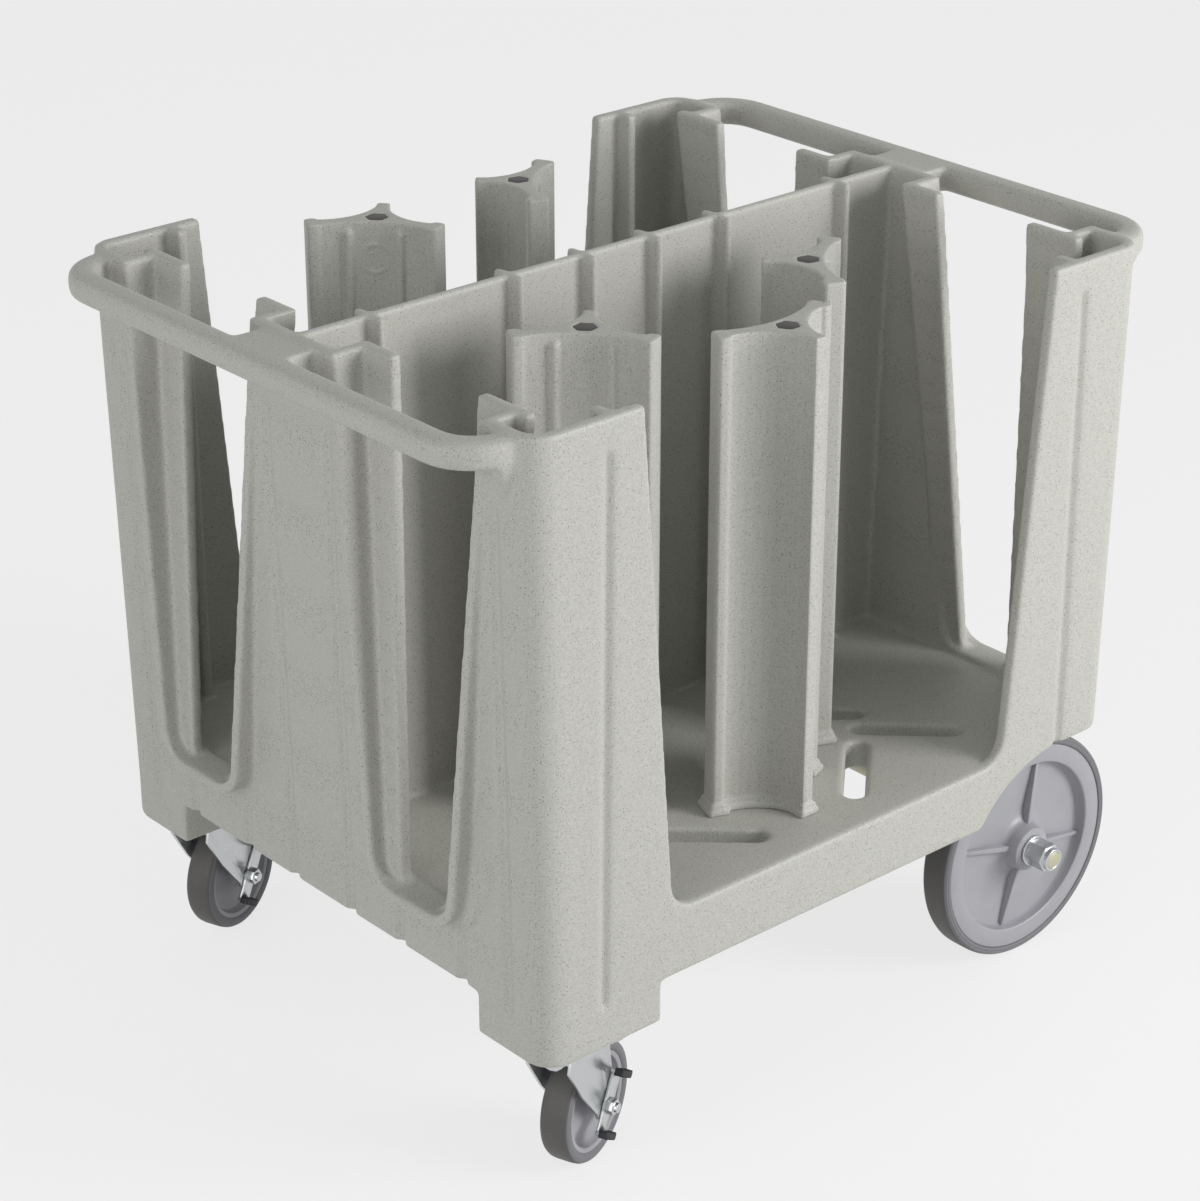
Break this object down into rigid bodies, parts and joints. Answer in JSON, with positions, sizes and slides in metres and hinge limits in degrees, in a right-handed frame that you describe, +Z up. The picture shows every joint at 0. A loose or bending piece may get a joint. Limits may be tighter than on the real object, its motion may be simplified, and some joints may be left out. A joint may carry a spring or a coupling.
{
  "type": "plate dispenser cart",
  "caption": "Moulded plate dispenser cart with five adjustable column towers, two large wheels and two braked swivel casters.",
  "frame": {"origin": "centre of the footprint, on the floor", "axes": "+X along the cart towards the large wheels, +Y across it away from the pictured long side, +Z up"},
  "size_m": [0.916, 0.6926, 0.802],
  "materials": {
    "moulded": "satin",
    "zinc": "satin",
    "grey_tyre": "matte",
    "grey_disc": "satin"
  },
  "bodies": {
    "cart": {"deck": "moulded", "skirt_near": "moulded", "skirt_far": "moulded", "skirt_caster_end": "moulded", "skirt_wheel_end": "moulded", "corner_caster_near": "moulded", "corner_caster_far": "moulded", "corner_wheel_near": "moulded", "corner_wheel_far": "moulded", "post_caster_end": "moulded", "post_wheel_end": "moulded", "centre_wall": "moulded", "handle_caster_end": "moulded", "handle_wheel_end": "moulded", "foot_near": "moulded", "foot_far": "moulded", "axle_boss_near": "moulded", "axle_boss_far": "moulded", "axle": "zinc", "axle_washers": "zinc", "axle_nuts": "zinc", "caster_plate_near": "zinc", "caster_plate_far": "zinc", "plate_bolts": "zinc"},
    "wheel_near": {"wheel_tyre_near": "grey_tyre", "wheel_disc_near": "grey_disc", "wheel_bush_near": "zinc"},
    "wheel_far": {"wheel_tyre_far": "grey_tyre", "wheel_disc_far": "grey_disc", "wheel_bush_far": "zinc"},
    "swivel_near": {"caster_fork_near": "zinc", "kingpin_near": "zinc", "caster_bolt_near": "zinc"},
    "swivel_far": {"caster_fork_far": "zinc", "kingpin_far": "zinc", "caster_bolt_far": "zinc"},
    "caster_near": {"caster_tyre_near": "grey_tyre", "caster_hub_near": "grey_disc"},
    "brake_near": {"brake_near": "zinc"},
    "caster_far": {"caster_tyre_far": "grey_tyre", "caster_hub_far": "grey_disc"},
    "brake_far": {"brake_far": "zinc"},
    "tower_a": {"tower_a": "moulded"},
    "tower_b": {"tower_b": "moulded"},
    "tower_c": {"tower_c": "moulded"},
    "tower_d": {"tower_d": "moulded"},
    "tower_e": {"tower_e": "moulded"},
    "rod_a": {"rod_a": "zinc"},
    "clamp_a": {"clamp_a": "zinc"},
    "rod_b": {"rod_b": "zinc"},
    "clamp_b": {"clamp_b": "zinc"},
    "rod_c": {"rod_c": "zinc"},
    "clamp_c": {"clamp_c": "zinc"},
    "rod_d": {"rod_d": "zinc"},
    "clamp_d": {"clamp_d": "zinc"},
    "rod_e": {"rod_e": "zinc"},
    "clamp_e": {"clamp_e": "zinc"}
  },
  "joints": [
    {"name": "wheel_near_spin", "type": "hinge", "parent": "cart", "child": "wheel_near", "pos_m": [0.32, -0.29, 0.127], "axis": [0, 1, 0], "continuous": true},
    {"name": "wheel_far_spin", "type": "hinge", "parent": "cart", "child": "wheel_far", "pos_m": [0.32, 0.29, 0.127], "axis": [0, 1, 0], "continuous": true},
    {"name": "swivel_near_turn", "type": "hinge", "parent": "cart", "child": "swivel_near", "pos_m": [-0.325, -0.297, 0.15], "axis": [0, 0, 1], "continuous": true},
    {"name": "swivel_far_turn", "type": "hinge", "parent": "cart", "child": "swivel_far", "pos_m": [-0.325, 0.297, 0.15], "axis": [0, 0, 1], "continuous": true},
    {"name": "caster_near_roll", "type": "hinge", "parent": "swivel_near", "child": "caster_near", "pos_m": [-0.28929, -0.284, 0.0635], "axis": [-0.342, 0.9397, 0], "continuous": true},
    {"name": "brake_near_rock", "type": "hinge", "parent": "swivel_near", "child": "brake_near", "pos_m": [-0.28929, -0.284, 0.0635], "axis": [-0.342, 0.9397, 0], "range_deg": [0, 25]},
    {"name": "caster_far_roll", "type": "hinge", "parent": "swivel_far", "child": "caster_far", "pos_m": [-0.28929, 0.31, 0.0635], "axis": [-0.342, 0.9397, 0], "continuous": true},
    {"name": "brake_far_rock", "type": "hinge", "parent": "swivel_far", "child": "brake_far", "pos_m": [-0.28929, 0.31, 0.0635], "axis": [-0.342, 0.9397, 0], "range_deg": [0, 25]},
    {"name": "tower_a_slide", "type": "slide", "parent": "cart", "child": "tower_a", "axis": [-0.7325, -0.6808, 0], "range_m": [-0.05, 0.059]},
    {"name": "tower_b_slide", "type": "slide", "parent": "cart", "child": "tower_b", "axis": [0, 1, 0], "range_m": [-0.002, 0.097]},
    {"name": "tower_c_slide", "type": "slide", "parent": "cart", "child": "tower_c", "axis": [0.7325, -0.6808, 0], "range_m": [-0.05, 0.059]},
    {"name": "tower_d_slide", "type": "slide", "parent": "cart", "child": "tower_d", "axis": [-0.7312, -0.6822, 0], "range_m": [-0.034, 0.061]},
    {"name": "tower_e_slide", "type": "slide", "parent": "cart", "child": "tower_e", "axis": [0.7312, -0.6822, 0], "range_m": [-0.034, 0.061]},
    {"name": "rod_a_turn", "type": "hinge", "parent": "tower_a", "child": "rod_a", "pos_m": [-0.14688, -0.12361, 0.5], "axis": [0, 0, 1], "range_deg": [0, 720]},
    {"name": "clamp_a_drop", "type": "slide", "parent": "tower_a", "child": "clamp_a", "axis": [0, 0, -1], "range_m": [0, 0.0035]},
    {"name": "rod_b_turn", "type": "hinge", "parent": "tower_b", "child": "rod_b", "pos_m": [0, -0.24599, 0.5], "axis": [0, 0, 1], "range_deg": [0, 720]},
    {"name": "clamp_b_drop", "type": "slide", "parent": "tower_b", "child": "clamp_b", "axis": [0, 0, -1], "range_m": [0, 0.0035]},
    {"name": "rod_c_turn", "type": "hinge", "parent": "tower_c", "child": "rod_c", "pos_m": [0.14688, -0.12361, 0.5], "axis": [0, 0, 1], "range_deg": [0, 720]},
    {"name": "clamp_c_drop", "type": "slide", "parent": "tower_c", "child": "clamp_c", "axis": [0, 0, -1], "range_m": [0, 0.0035]},
    {"name": "rod_d_turn", "type": "hinge", "parent": "tower_d", "child": "rod_d", "pos_m": [-0.0951, 0.26423, 0.5], "axis": [0, 0, 1], "range_deg": [0, 720]},
    {"name": "clamp_d_drop", "type": "slide", "parent": "tower_d", "child": "clamp_d", "axis": [0, 0, -1], "range_m": [0, 0.0035]},
    {"name": "rod_e_turn", "type": "hinge", "parent": "tower_e", "child": "rod_e", "pos_m": [0.0951, 0.26423, 0.5], "axis": [0, 0, 1], "range_deg": [0, 720]},
    {"name": "clamp_e_drop", "type": "slide", "parent": "tower_e", "child": "clamp_e", "axis": [0, 0, -1], "range_m": [0, 0.0035]}
  ],
  "couplings": [
    {"joint": "rod_a_turn", "follows": "clamp_a_drop", "rad_per_m": 3590},
    {"joint": "rod_b_turn", "follows": "clamp_b_drop", "rad_per_m": 3590},
    {"joint": "rod_c_turn", "follows": "clamp_c_drop", "rad_per_m": 3590},
    {"joint": "rod_d_turn", "follows": "clamp_d_drop", "rad_per_m": 3590},
    {"joint": "rod_e_turn", "follows": "clamp_e_drop", "rad_per_m": 3590}
  ]
}
